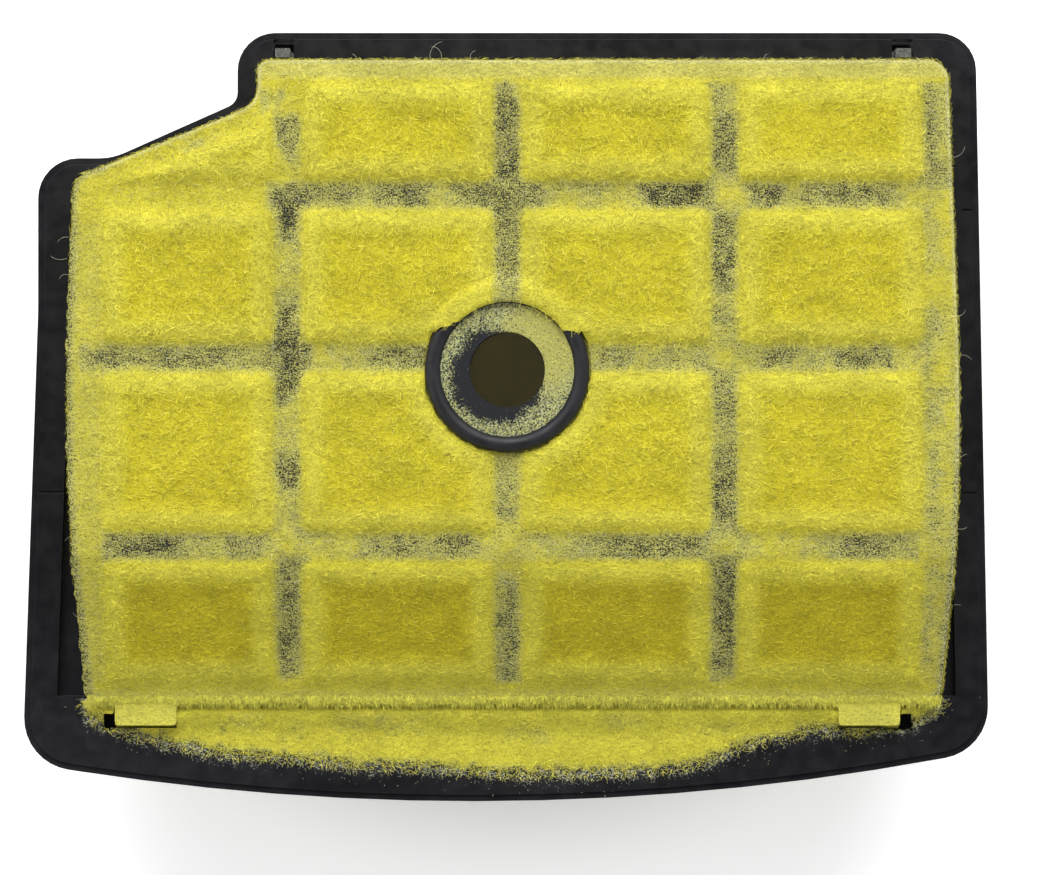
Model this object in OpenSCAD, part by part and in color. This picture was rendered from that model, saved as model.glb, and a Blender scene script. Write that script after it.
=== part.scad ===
// Flocked air filter housing for a small petrol engine: a shallow tub with a wide
// rim, and a flocked lid that swings open on two tongues along its front edge.
// Millimetres. +Z is up, away from the engine, +Y is the back of the housing.
// The origin is the middle of the intake port, on the face that seats on the engine.

/* [Rim] */
// Y of the rim's straight back edge
rim_back = 45.6; // [45:0.1:47]
// Y where the two ends of the bowed front edge would meet
rim_front_meet = -62.9; // [-64:0.1:-62]
// Radius of the bowed front edge
rim_front_bow = 351; // [300:1:400]
// Radius of the rim's front corners
rim_front_corner = 7; // [5:0.5:8]
// Radius of the rim's back corners
rim_back_corner = 5.1; // [4:0.1:6]
// Height of the rim's upper face
rim_top = 24; // [23:0.5:26]
// Thickness of the rim plate
rim_plate = 2.4; // [2:0.1:3]
// How far the rim's turned-down edge reaches below its upper face
rim_skirt = 4.4; // [3:0.1:6]
// Width of the turned-down edge
rim_skirt_wall = 1.6; // [1.2:0.1:2]
// Width and depth of the step around the rim's outer edge
rim_step = [0.9, 0.4]; // [0.3:0.1:1]
// Y of the mould line across the rim's left side, and of the two across its right side
rim_lines = [-16.3, 21.7, -16.4]; // [-30:0.1:30]
// Width and depth of the mould lines
rim_line_cut = [0.3, 0.25]; // [0.1:0.05:0.5]

/* [Lid] */
// Y of the lid's back wall
lid_back = 41.1; // [40:0.1:41.5]
// Y of the lid's front wall
lid_front = -44.3; // [-45:0.1:-44]
// Height of the lid's flat top
lid_top = 34; // [32:0.5:38]
// Y where the top starts to slope down to the front
slope_start = -24.5; // [-27:0.5:-22]
// Height of the slope's lower end
slope_end = 25.8; // [25.5:0.1:27]
// Thickness of the lid's walls and grid
lid_wall = 2.2; // [1.8:0.1:2.6]
// Gap under the lid's walls
lid_gap = 0.3; // [0.1:0.05:0.5]
// Depth of the locating lip that hangs inside the tub
lip_depth = 2.5; // [1.5:0.1:3]

/* [Grid] */
// X of the three ribs that run front to back
rib_x = [-29.15, 0, 28.8]; // [-40:0.05:40]
// Y of the three ribs that run left to right, from the back
rib_y = [23.15, 1.6, -23.4]; // [-40:0.05:40]
// Width of the ribs
rib_width = 3.3; // [2.5:0.1:4]
// Left, right, back and front limits of the windows
window_limits = [-54, 55.3, 38.4, -43.2]; // [-60:0.1:60]
// Corner radius of the windows
window_corner = 1.6; // [1:0.1:2.5]

/* [Filter media] */
// Thickness of the media sheets
sheet = 1; // [0.6:0.1:1.5]
// How far the media stands out of its windows
pillow = 0.7; // [0.3:0.1:1]

/* [Centre] */
// Radius of the hole for the retaining nut's collar
stud_hole = 5; // [4:0.1:6]
// Radius of the bush's flange
bush_flange = 8.85; // [8:0.05:9]
// Outer radius of the rubber ring around the flange
ring_outer = 10.9; // [10.5:0.1:11.5]
// Radius of the plate in the lid that carries the bush
lid_hub = 12; // [11.5:0.5:13]

/* [Intake port] */
// Radius of the rubber bore that fits over the engine's intake stub
port = 17; // [15:0.5:18]
// Thickness of the rubber inside the collar
port_rubber = 2; // [1.5:0.1:2.5]
// Outer radius of the rubber's seating flange
seat_flange = 24; // [23:0.5:25]
// Radius of the plain plate around the port
port_hub = 25.5; // [25:0.5:27]

/* [Tub] */
// Thickness of the tub's walls and floor
tub_wall = 2; // [1.6:0.1:2.4]
// Height of the tub's underside
tub_under = 2; // [1.5:0.1:3]
// Lower and upper limits of the side windows
side_window_z = [7, 18.6]; // [6:0.1:19]
// Left, right, back and front limits of the side windows
side_limits = [-50, 49.5, 35.5, -38.5]; // [-52:0.5:54]
// How much wider the posts between the side windows are than the ribs
post_extra = 2; // [0:0.5:4]

/* [Hinge and catches] */
// Inner and outer X of the tongues, either side of the middle
tongue_x = [44.5, 52.7]; // [40:0.1:54]
// Y and height of the line the tongues turn about
hinge_line = [-47.2, 22.9]; // [-48:0.1:24]
// X of the two catches at the back
catch_x = [-30.2, 53.2]; // [-31:0.1:54]
// Height of the line the catches flex about
catch_foot = 11; // [10:0.5:12]

/* [Hidden] */
$fn = 72;
chord_error = 0.03;
least_corner = 0.4;
far = 200;
fit_gap = 0.3;
through = 20;
tub_outset = 1;
lid_border = lid_wall + 0.2;
floor_border = tub_outset + tub_wall + 1;
bush_wall = 1.6;
bush_foot = 28;
catch_y = 42.7;
catch_bead = 1.1;
tongue_bead = 1.1;
slot_gap = 0.15;
bridge = [25.5, 27.7];

rim_corners = [
    [-65.4, -52.8, rim_front_corner],
    [0.2, rim_front_meet, rim_front_bow],
    [64.9, -51.1, rim_front_corner],
    [63.1, rim_back, rim_back_corner],
    [-36.4, rim_back, rim_back_corner],
    [-36.4, 36.2, 2],
    [-53.3, 28.7, 8],
    [-63.3, 28.7, 5.4],
    [-63.3, 8, 60]
];
lid_corners = [
    [-56.2, lid_front, 2],
    [58.2, lid_front, 2],
    [60.3, -10, 300],
    [58.4, lid_back, 2.7],
    [-33.1, lid_back, 1.5],
    [-33.1, 35.3, 3.5],
    [-52.4, 27.4, 6],
    [-57.5, 25.6, 3],
    [-58.7, -10, 300]
];
column_edges = cell_edges(window_limits[0], rib_x, window_limits[1], rib_width);
row_edges = cell_edges(window_limits[3], [rib_y[2], rib_y[1], rib_y[0]], window_limits[2], rib_width);
row_lines = [-far, rib_y[2], rib_y[1], rib_y[0], far];
post_width = rib_width + post_extra;
side_columns = cell_edges(side_limits[0], rib_x, side_limits[1], post_width);
side_rows = cell_edges(side_limits[3], [rib_y[2], rib_y[1], rib_y[0]], side_limits[2], post_width);

// Low and high ends of the cells that a row of ribs leaves between two limits
function cell_edges(low, ribs, high, width) = [
    for (i = [0:len(ribs)]) [
        i == 0 ? low : ribs[i - 1] + width / 2,
        i == len(ribs) ? high : ribs[i] - width / 2
    ]
];

function flat(corner) = [corner[0], corner[1]];
function unit(v) = v / norm(v);
function around(list, i) = list[(i + len(list)) % len(list)];
function left_normal(a, b) = let (d = unit(b - a)) [-d[1], d[0]];
function turns_left(a, b, c) = cross(b - a, c - b) > 0;

// The points that round one corner, between the tangent points on its two edges
function corner_arc(before, here, after, r) =
    let (
        a = unit(before - here),
        b = unit(after - here),
        half = acos(a * b) / 2,
        centre = here + unit(a + b) * r / sin(half),
        start = here + a * r / tan(half) - centre,
        sweep = (180 - 2 * half) * (turns_left(before, here, after) ? 1 : -1),
        first = atan2(start[1], start[0]),
        steps = max(2, ceil(abs(sweep) / (2 * acos(1 - chord_error / r))))
    )
    [for (i = [0:steps]) centre + r * [cos(first + sweep * i / steps), sin(first + sweep * i / steps)]];

// An anticlockwise outline with each corner [x, y, radius] rounded
function rounded(corners) = [
    for (i = [0:len(corners) - 1])
        each corner_arc(
            flat(around(corners, i - 1)), flat(corners[i]), flat(around(corners, i + 1)), corners[i][2]
        )
];

// The corners of the outline that runs a distance inside another
function inset(corners, distance) = [
    for (i = [0:len(corners) - 1])
        let (
            before = flat(around(corners, i - 1)),
            here = flat(corners[i]),
            after = flat(around(corners, i + 1)),
            n1 = left_normal(before, here),
            n2 = left_normal(here, after),
            moved = here + distance * (n1 + n2) / (1 + n1 * n2),
            r = turns_left(before, here, after) ? corners[i][2] - distance : corners[i][2]
        )
        [moved[0], moved[1], max(least_corner, r)]
];

function box_corners(x, y, r) = [[x[0], y[0], r], [x[1], y[0], r], [x[1], y[1], r], [x[0], y[1], r]];

// The lid's upper surface in the YZ plane, raised by a height
function lid_line(raise) = [
    [far, lid_top + raise],
    [slope_start, lid_top + raise],
    [lid_front, slope_end + raise],
    [-far, slope_end + raise]
];

module outline(corners) { polygon(rounded(corners)); }

module plate(corners, z) {
    translate([0, 0, z[0]]) linear_extrude(z[1] - z[0]) outline(corners);
}

module ring_plate(outer, inner, z) {
    translate([0, 0, z[0]]) linear_extrude(z[1] - z[0]) difference() {
        outline(outer);
        outline(inner);
    }
}

module tube(outer, inner, z) {
    translate([0, 0, z[0]]) difference() {
        cylinder(r = outer, h = z[1] - z[0]);
        translate([0, 0, -1]) cylinder(r = inner, h = z[1] - z[0] + 2);
    }
}

module block(x, y, z) {
    translate([x[0], y[0], z[0]]) cube([x[1] - x[0], y[1] - y[0], z[1] - z[0]]);
}

module rod_x(x, y, z, r) {
    translate([x[0], y, z]) rotate([0, 90, 0]) cylinder(r = r, h = x[1] - x[0]);
}

// A slab that follows the lid's upper surface between two heights measured from it
module skin(low, high) {
    down = lid_line(low);
    translate([-far, 0, 0]) rotate([90, 0, 90]) linear_extrude(2 * far)
        polygon(concat(lid_line(high), [for (i = [3:-1:0]) down[i]]));
}

module beneath_lid_surface(raise) {
    translate([-far, 0, 0]) rotate([90, 0, 90]) linear_extrude(2 * far)
        polygon(concat(lid_line(raise), [[-far, 0], [far, 0]]));
}

// The windows of one row, outside a plate in the middle and inside a border
module row_windows(row, keep_out, border) {
    difference() {
        intersection() {
            union() {
                for (column = [0:3])
                    outline(box_corners(column_edges[column], row_edges[row], window_corner));
            }
            outline(inset(lid_corners, border));
        }
        circle(r = keep_out);
    }
}

module all_windows(keep_out, border) {
    for (row = [0:3]) row_windows(row, keep_out, border);
}

module row_band(row) {
    translate([-far, row_lines[row]]) square([2 * far, row_lines[row + 1] - row_lines[row]]);
}

// Lid ------------------------------------------------------------------------

module tongue(side) {
    x = side > 0 ? tongue_x : [-tongue_x[1], -tongue_x[0]];
    y = hinge_line[0];
    block(x, [y - 0.4, lid_front + 1], [rim_top + lid_gap, rim_top + lid_gap + 1.5]);
    block(x, [y - 0.4, y + 0.7], [hinge_line[1], rim_top + lid_gap + 0.5]);
    rod_x(x, y, hinge_line[1], tongue_bead);
}

module lid_frame() {
    foot = rim_top + lid_gap;
    lip_outer = inset(lid_corners, tub_outset + tub_wall + fit_gap);
    lip_inner = inset(lid_corners, tub_outset + tub_wall + fit_gap + 1.2);
    color([0.13, 0.13, 0.14]) {
        difference() {
            intersection() {
                plate(lid_corners, [foot, lid_top]);
                beneath_lid_surface(0);
            }
            intersection() {
                plate(inset(lid_corners, lid_wall), [foot - 1, lid_top]);
                beneath_lid_surface(-lid_wall);
            }
            translate([0, 0, foot]) linear_extrude(lid_top) all_windows(lid_hub, lid_border);
            translate([0, 0, foot]) cylinder(r = stud_hole + bush_wall, h = lid_top);
        }
        intersection() {
            union() {
                ring_plate(lip_outer, lip_inner, [rim_top - lip_depth, foot + 1.2]);
                ring_plate(inset(lid_corners, 1), lip_inner, [foot, foot + 1.2]);
            }
            beneath_lid_surface(-0.5);
        }
        tongue(-1);
        tongue(1);
    }
}

module lid_media_row(row) {
    color([0.86, 0.83, 0.22]) intersection() {
        union() {
            difference() {
                intersection() {
                    skin(-lid_wall - sheet, -lid_wall);
                    linear_extrude(lid_top) intersection() {
                        outline(inset(lid_corners, lid_wall + tub_wall));
                        row_band(row);
                    }
                }
                cylinder(r = stud_hole + bush_wall, h = lid_top);
            }
            intersection() {
                skin(-lid_wall - sheet / 2, pillow);
                linear_extrude(2 * lid_top) row_windows(row, lid_hub, lid_border);
            }
        }
        plate(inset(lid_corners, lid_wall), [rim_top + lid_gap + 1.2, 2 * lid_top]);
    }
}

module centre_bush() {
    color([0.2, 0.2, 0.19]) {
        tube(stud_hole + bush_wall, stud_hole, [bush_foot, lid_top]);
        tube(bush_flange, stud_hole, [lid_top, lid_top + 0.8]);
    }
}

module centre_seal() {
    bead = (ring_outer - bush_flange) / 2;
    color([0.07, 0.07, 0.08]) translate([0, 0, lid_top]) rotate_extrude() {
        translate([bush_flange, 0]) square([2 * bead, 0.5]);
        intersection() {
            translate([bush_flange + bead, 0.5]) circle(r = bead);
            translate([0, 0.4]) square([ring_outer, 2 * bead]);
        }
    }
}

// Base -----------------------------------------------------------------------

// Boxes through the tub's wall for one side's windows
module side_windows(side) {
    z = side_window_z;
    if (side == "front") for (column = side_columns) block(column, [-far, lid_front / 2], z);
    if (side == "back") for (i = [1:3]) block(side_columns[i], [lid_back / 2, far], z);
    if (side == "left") for (i = [0:2]) block([-far, side_limits[0] / 2], side_rows[i], z);
    if (side == "right") for (row = side_rows) block([side_limits[1] / 2, far], row, z);
}

// The part of the tub's wall that belongs to one side
module side_zone(side) {
    z = [0, rim_top];
    if (side == "front") block([-52, 54], [-far, -30], z);
    if (side == "back") block([-28, 54], [30, far], z);
    if (side == "left") block([-far, -45], [-40, 21.5], z);
    if (side == "right") block([45, far], [-40, 36], z);
}

module side_media(side) {
    color([0.8, 0.77, 0.22]) {
        intersection() {
            ring_plate(
                inset(lid_corners, tub_outset + tub_wall),
                inset(lid_corners, tub_outset + tub_wall + sheet),
                [tub_under + tub_wall + sheet, rim_top - lip_depth - fit_gap]
            );
            side_zone(side);
        }
        intersection() {
            ring_plate(
                inset(lid_corners, tub_outset - pillow),
                inset(lid_corners, tub_outset + tub_wall + sheet / 2),
                side_window_z
            );
            side_windows(side);
        }
    }
}

module catch_socket(x) {
    wall = inset(lid_corners, tub_outset);
    width = [x - 3.2, x + 3.2];
    difference() {
        union() {
            block(width, [wall[4][1] - 0.5, catch_y + 2.5], [catch_foot - 2.1, catch_foot + 2.1]);
            block(width, [catch_y + 1.95, catch_y + 2.5], [catch_foot, catch_foot + 5.5]);
        }
        rod_x([x - 2.1, x + 2.1], catch_y, catch_foot, catch_bead + 0.06);
        block([x - 1.2, x + 1.2], [catch_y - 0.85, catch_y + 0.95], [catch_foot, catch_foot + 3]);
    }
}

function slot_x(side) = side > 0 ? tongue_x + [-0.2, 1.9] : [-tongue_x[1] - 1.9, -tongue_x[0] + 0.2];

// The shelf that closes off the underside of one tongue's slot
module slot_shelf(side) {
    z = [rim_top - rim_plate - 1.2, rim_top - rim_plate];
    block(slot_x(side) + [-0.9, 0.9], [hinge_line[0] - 2.2, lid_front + tub_outset + 0.8], z);
}

// The openings in the rim: two for the tongues, two for the catches
module rim_slots() {
    z = [rim_top - rim_skirt - 1, rim_top + 1];
    reach = tongue_bead + slot_gap;
    for (side = [-1, 1]) block(slot_x(side), [hinge_line[0] - reach, hinge_line[0] + reach], z);
    for (x = catch_x) block([x - 1.4, x + 1.4], [catch_y - 1, catch_y + 2], z);
}

// The mould lines across the rim
module rim_mould_lines() {
    z = [rim_top - rim_line_cut[1], rim_top + 1];
    for (i = [0:len(rim_lines) - 1]) {
        x = i == 0 ? [-far, lid_corners[0][0] - 3] : [lid_corners[1][0] + 3, far];
        block(x, [rim_lines[i] - rim_line_cut[0] / 2, rim_lines[i] + rim_line_cut[0] / 2], z);
    }
}

// The recess in the rim on both sides of the lid
module rim_recess() {
    translate([0, 0, rim_top - 1.3]) linear_extrude(2) intersection() {
        difference() {
            outline(inset(rim_corners, 4.4));
            outline(inset(lid_corners, -0.25));
        }
        translate([-far, -43.8]) square([2 * far, 67.8]);
    }
}

module base_rim() {
    tub_inner = inset(lid_corners, tub_outset + tub_wall);
    z = [rim_top - rim_plate, rim_top];
    color([0.14, 0.14, 0.15]) difference() {
        union() {
            ring_plate(rim_corners, tub_inner, [z[0], rim_top - rim_step[1]]);
            ring_plate(inset(rim_corners, rim_step[0]), tub_inner, z);
            ring_plate(rim_corners, inset(rim_corners, rim_skirt_wall), [rim_top - rim_skirt, z[0] + 1]);
        }
        rim_slots();
        rim_recess();
        rim_mould_lines();
        gasket_groove();
    }
}

module tub_walls() {
    z = [tub_under + tub_wall, rim_top - rim_plate];
    color([0.14, 0.14, 0.15]) {
        difference() {
            ring_plate(inset(lid_corners, tub_outset), inset(lid_corners, tub_outset + tub_wall), z);
            for (side = ["front", "back", "left", "right"]) side_windows(side);
        }
        for (x = catch_x) catch_socket(x);
        for (side = [-1, 1]) slot_shelf(side);
    }
}

module tub_floor() {
    z = [tub_under, tub_under + tub_wall];
    color([0.14, 0.14, 0.15]) {
        difference() {
            plate(inset(lid_corners, tub_outset), z);
            translate([0, 0, -1]) linear_extrude(through) all_windows(port_hub, floor_border);
            translate([0, 0, -1]) cylinder(r = port + port_rubber, h = through);
        }
        tube(port + 2 * port_rubber, port + port_rubber, [z[0], 7.4]);
    }
}

module gasket_groove() {
    ring_plate(inset(lid_corners, 0.5), inset(lid_corners, 2.2), [rim_top - 1.1, rim_top + 1]);
}

module rim_gasket() {
    color([0.09, 0.09, 0.1])
        ring_plate(inset(lid_corners, 0.55), inset(lid_corners, 2.15), [rim_top - 1.1, rim_top + 0.15]);
}

// The part of one row of floor media between two X, since the port splits the middle rows
module floor_media_row(row, x = [-far, far]) {
    base = tub_under + tub_wall;
    color([0.8, 0.77, 0.22]) intersection() {
        union() {
            translate([0, 0, base]) linear_extrude(sheet) difference() {
                intersection() {
                    outline(inset(lid_corners, tub_outset + tub_wall));
                    row_band(row);
                }
                circle(r = port_hub - 0.7);
            }
            translate([0, 0, tub_under - pillow / 2]) linear_extrude(tub_wall + pillow / 2 + sheet / 2)
                row_windows(row, port_hub, floor_border);
        }
        block(x, [-far, far], [0, through]);
    }
}

module intake_seal() {
    collar = port + port_rubber;
    color([0.07, 0.07, 0.08]) {
        tube(collar, port, [0, 8.4]);
        tube(seat_flange, port, [0, tub_under]);
        tube(collar + 1.2, port, [7.4, 8.4]);
    }
}

module centre_support() {
    foot = [tub_under + tub_wall, tub_under + tub_wall + 1.4];
    post = 22.8;
    color([0.16, 0.16, 0.17]) {
        tube(port_hub - 0.9, port + 2 * port_rubber + 0.05, foot);
        tube(9.5, 6.2, bridge);
        for (angle = [90, 210, 330]) rotate([0, 0, angle]) {
            block([8.5, post], [-1.5, 1.5], bridge);
            translate([post, 0, foot[0]]) cylinder(r = 1.6, h = bridge[1] - foot[0]);
        }
    }
}

module catch(x) {
    color([0.3, 0.31, 0.32]) {
        rod_x([x - 2, x + 2], catch_y, catch_foot, catch_bead);
        block([x - 1, x + 1], [catch_y - 0.6, catch_y + 0.6], [catch_foot, rim_top + 2.2]);
        translate([x - 1, 0, 0]) rotate([90, 0, 90]) linear_extrude(2) polygon([
            [catch_y - 0.5, rim_top + 0.4],
            [catch_y - 1.35, rim_top + 1.1],
            [catch_y - 0.5, rim_top + 2.2]
        ]);
    }
}

lid_frame();
lid_media_row(3);  // lid_media_row_1
lid_media_row(2);  // lid_media_row_2
lid_media_row(1);  // lid_media_row_3
lid_media_row(0);  // lid_media_row_4
centre_bush();
centre_seal();
base_rim();
tub_walls();
tub_floor();
floor_media_row(3);  // floor_media_row_1
floor_media_row(2, [-far, 0]);  // floor_media_row_2_left
floor_media_row(2, [0, far]);  // floor_media_row_2_right
floor_media_row(1, [-far, 0]);  // floor_media_row_3_left
floor_media_row(1, [0, far]);  // floor_media_row_3_right
floor_media_row(0);  // floor_media_row_4
side_media("front");  // side_media_front
side_media("back");  // side_media_back
side_media("left");  // side_media_left
side_media("right");  // side_media_right
intake_seal();
centre_support();
rim_gasket();
catch(catch_x[0]);  // catch_left
catch(catch_x[1]);  // catch_right
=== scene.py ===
import math

import bpy
import numpy as np
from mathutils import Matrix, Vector


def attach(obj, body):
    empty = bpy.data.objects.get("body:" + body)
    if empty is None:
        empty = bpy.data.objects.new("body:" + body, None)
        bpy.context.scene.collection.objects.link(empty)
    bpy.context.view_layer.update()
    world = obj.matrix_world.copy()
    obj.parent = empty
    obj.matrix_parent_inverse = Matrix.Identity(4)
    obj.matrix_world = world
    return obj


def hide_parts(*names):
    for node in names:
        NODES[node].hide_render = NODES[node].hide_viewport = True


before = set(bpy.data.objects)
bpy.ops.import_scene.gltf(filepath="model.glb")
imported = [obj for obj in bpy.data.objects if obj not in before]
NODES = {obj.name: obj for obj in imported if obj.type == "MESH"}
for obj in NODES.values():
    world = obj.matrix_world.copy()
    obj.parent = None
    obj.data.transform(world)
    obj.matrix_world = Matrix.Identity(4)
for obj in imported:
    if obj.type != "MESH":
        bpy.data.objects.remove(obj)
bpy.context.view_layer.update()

# The looks of a flocked air filter housing. Lengths in the shape code are millimetres, and
# piece() turns them into metres in the row frame.
MM = 0.001

# ---- the housing's own lines, in millimetres -------------------------------------------------

# Corners of the lid's outline, anticlockwise: x, y and radius
LID_CORNERS = [
    (-56.2, -44.3, 2), (58.2, -44.3, 2), (60.3, -10, 300), (58.4, 41.1, 2.7), (-33.1, 41.1, 1.5),
    (-33.1, 35.3, 3.5), (-52.4, 27.4, 6), (-57.5, 25.6, 3), (-58.7, -10, 300),
]
# The lid's windows lie where a column and a row cross
COLUMNS = [(-54, -30.8), (-27.5, -1.65), (1.65, 27.15), (30.45, 55.3)]
ROWS = [(-43.2, -25.05), (-21.75, -0.05), (3.25, 21.5), (24.8, 38.4)]
ROW_LINES = [-46, -23.4, 1.6, 23.15, 42]
RIBS_X = [-29.15, 0, 28.8]
SIDE_COLUMNS = [(-50, -31.8), (-26.5, -2.65), (2.65, 26.15), (31.45, 49.5)]
SIDE_ROWS = [(-38.5, -26.05), (-20.75, -1.05), (4.25, 20.5), (25.8, 35.5)]
SIDE_WINDOW_Z = (7, 18.6)
LID_LEFT = [(-44.3, -56.2), (-10, -58.7), (25.6, -57.5)]
LID_RIGHT = [(-44.3, 58.2), (-10, 60.3), (41.1, 58.4)]
LID_FRONT, LID_BACK, LID_TOP = -44.3, 41.1, 34.0
# Y where the lid's top begins to slope, and the top's height at its front edge
SLOPE_START, FRONT_TOP = -24.5, 25.8
RIM_TOP = 24.0
TONGUES = [(-52.7, -44.5), (44.5, 52.7)]
TONGUE_Y = (-47.6, -43.5)
HINGE_LINE = (-47.2, 22.9)  # Y and Z
WALL_REACH = 2.9  # from the hinge line to the lid's front wall
APRON_BACK = -44.5  # where the flock on the rim ends towards the lid
# The lid's media reach this far below its top, but never below a height of LID_LOW
SHEET_DEPTH = 3.2
LID_LOW = 25.5
RING_IN, RING_OUT = 8.98, 11.0

# Places where the flock has worn thin, or never took: x, x, y, y and how much of it is left
THIN = [
    (-18.2, -10.9, 21.8, 24.6, 0.22), (-7, 5.6, 21.9, 24.5, 0.2), (18.2, 26.2, 21.5, 24.8, 0.04),
    (32.1, 36.1, 21.7, 24.6, 0.12), (40, 50.7, 21.9, 24.4, 0.25), (-28, -20, 22.2, 24.4, 0.4),
    (-55.3, -36.8, 0.4, 3.0, 0.3), (-31.5, -26.2, 0.2, 3.2, 0.25), (-18, -14, 0.0, 2.4, 0.3),
    (34.8, 37.4, 0.4, 3.0, 0.2), (44, 51.3, 0.4, 2.9, 0.25), (12.4, 17.3, 0.3, 2.8, 0.35),
    (-52.7, -42.7, -24.8, -22.0, 0.16), (-8.9, -5, -24.6, -21.8, 0.2), (-20, -12, -24.6, -22.2, 0.34),
    (12.3, 25.5, -24.8, -22.2, 0.26), (45.4, 49.3, -24.8, -22.2, 0.22), (-38, -33, -24.6, -22.4, 0.38),
    (-30.8, -27.5, 18, 24.5, 0.14), (-30.8, -27.5, -3.9, 9.3, 0.14), (-30.8, -27.5, -15.9, -11.3, 0.16),
    (-30.8, -27.5, -40, -25.5, 0.3), (-30.6, -27.7, 28, 34, 0.3), (-1.6, 1.6, 25.2, 37.8, 0.18),
    (-1.6, 1.6, 11.5, 22.5, 0.25), (-1.6, 1.6, -43.7, -28, 0.34), (-1.6, 1.6, -20, -13, 0.45),
    (27.1, 30.5, 26.5, 33.5, 0.26), (27.1, 30.5, 10.6, 20.6, 0.25), (27.1, 30.5, -21.2, -9.2, 0.26),
    (27.1, 30.5, -35.7, -25.1, 0.26), (27.1, 30.5, -8, 0, 0.4), (52.6, 56.2, 32.5, 35.8, 0.3),
    (54.4, 56.8, 26, 33, 0.3), (55.2, 57, 14, 22, 0.62), (55.4, 57.4, -8, 8, 0.6),
    (55.2, 57.6, -24, -10, 0.6), (55, 57.2, -40, -26, 0.65), (-43, -38.5, 28.2, 30.2, 0.45),
    (-31.8, -29.8, 34.4, 37.2, 0.45),
    (-38.7, -32.7, -48.5, -45.4, 0.2), (-23.5, -11.6, -49, -45.2, 0.22), (12.3, 18.9, -48, -45, 0.3),
    (-30, -26.5, -50.5, -47.5, 0.3), (0, 6, -50, -47, 0.4), (24, 30, -49.5, -47, 0.42),
]

# The flock's ragged front edge on the rim, as x and y
APRON_EDGE = [
    (-58.0, -43.6), (-57.5, -45.4), (-56.4, -47.2), (-52, -49), (-44, -50.9), (-38, -52), (-30, -52.5),
    (-21, -53.4), (-10, -53.9), (0, -54.6), (12, -54.5), (20, -54), (26, -53.2), (33, -50.6), (41, -48.8),
    (48, -48.9), (55.5, -47.4), (58.5, -45.6), (59.2, -44.6),
]
EDGE_X, EDGE_Y = zip(*APRON_EDGE)
# What the flock on the rim keeps clear of at each tongue: from X to X on both sides, from Y to Y
TONGUE_HOLES = [(44.5, 52.95, -48.1, -43.0), (52.9, 54.4, -48.1, -46.1)]

# Tints of the flock
PALE = np.array([0.90, 0.86, 0.17])
BRIGHT = np.array([0.84, 0.755, 0.038])
DEEP = np.array([0.60, 0.50, 0.018])
DUSTY = np.array([0.62, 0.60, 0.17])
GREY = np.array([0.52, 0.53, 0.34])


# ---- small maths -----------------------------------------------------------------------------

def smooth(low, high, v):
    """0 below low and 1 above high, or the other way round where high is below low."""
    t = np.clip((v - low) / (high - low), 0, 1)
    return t * t * (3 - 2 * t)


def lerp(a, b, t):
    return a + (b - a) * t


def blend_tints(a, b, t):
    """Tint a turning into tint b; either may be one tint or a list of them."""
    return a + (b - a) * np.asarray(t)[..., None]


def noise(x, y, size, seed):
    """Smooth noise from -1 to 1, with lumps about size across."""
    grid = np.random.default_rng(seed).uniform(-1, 1, (128, 128))
    u, v = np.asarray(x) / size + 37.3, np.asarray(y) / size + 11.7
    i, j = np.floor(u).astype(int), np.floor(v).astype(int)
    s, t = u - i, v - j
    s, t = s * s * (3 - 2 * s), t * t * (3 - 2 * t)
    i0, j0, i1, j1 = i % 128, j % 128, (i + 1) % 128, (j + 1) % 128
    return lerp(lerp(grid[i0, j0], grid[i1, j0], s), lerp(grid[i0, j1], grid[i1, j1], s), t)


def read_grid(values, u, v):
    """The values of a grid between its points, at column u and row v."""
    u, v = np.clip(u, 0, values.shape[0] - 1.001), np.clip(v, 0, values.shape[1] - 1.001)
    i, j = u.astype(int), v.astype(int)
    s, t = u - i, v - j
    return lerp(lerp(values[i, j], values[i + 1, j], s), lerp(values[i, j + 1], values[i + 1, j + 1], s), t)


def unit(v):
    return v / np.maximum(np.linalg.norm(v, axis=-1, keepdims=True), 1e-12)


def inset(corners, distance):
    """The corners of the outline that runs a distance inside another."""
    made = []
    for i, (x, y, r) in enumerate(corners):
        before, here, after = (np.array(corners[(i + k) % len(corners)][:2], float) for k in (-1, 0, 1))
        a, b = unit(here - before), unit(after - here)
        n1, n2 = np.array([-a[1], a[0]]), np.array([-b[1], b[0]])
        moved = here + distance * (n1 + n2) / (1 + n1 @ n2)
        turns_left = a[0] * b[1] - a[1] * b[0] > 0
        made.append((moved[0], moved[1], max(0.4, r - distance if turns_left else r)))
    return made


def rounded(corners, error=0.03):
    """The points of an anticlockwise outline with each corner rounded."""
    made = []
    for i, corner in enumerate(corners):
        before, here, after = (np.array(corners[(i + k) % len(corners)][:2], float) for k in (-1, 0, 1))
        a, b, r = unit(before - here), unit(after - here), corner[2]
        half = math.acos(max(-1, min(1, float(a @ b)))) / 2
        centre = here + unit(a + b) * r / math.sin(half)
        start = here + a * r / math.tan(half) - centre
        ahead = after - here
        turn = 1 if (here - before)[0] * ahead[1] - (here - before)[1] * ahead[0] > 0 else -1
        sweep = (math.pi - 2 * half) * turn
        first = math.atan2(start[1], start[0])
        steps = max(2, math.ceil(abs(sweep) / (2 * math.acos(1 - error / r))))
        for k in range(steps + 1):
            angle = first + sweep * k / steps
            made.append(centre + r * np.array([math.cos(angle), math.sin(angle)]))
    return np.array(made)


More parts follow.
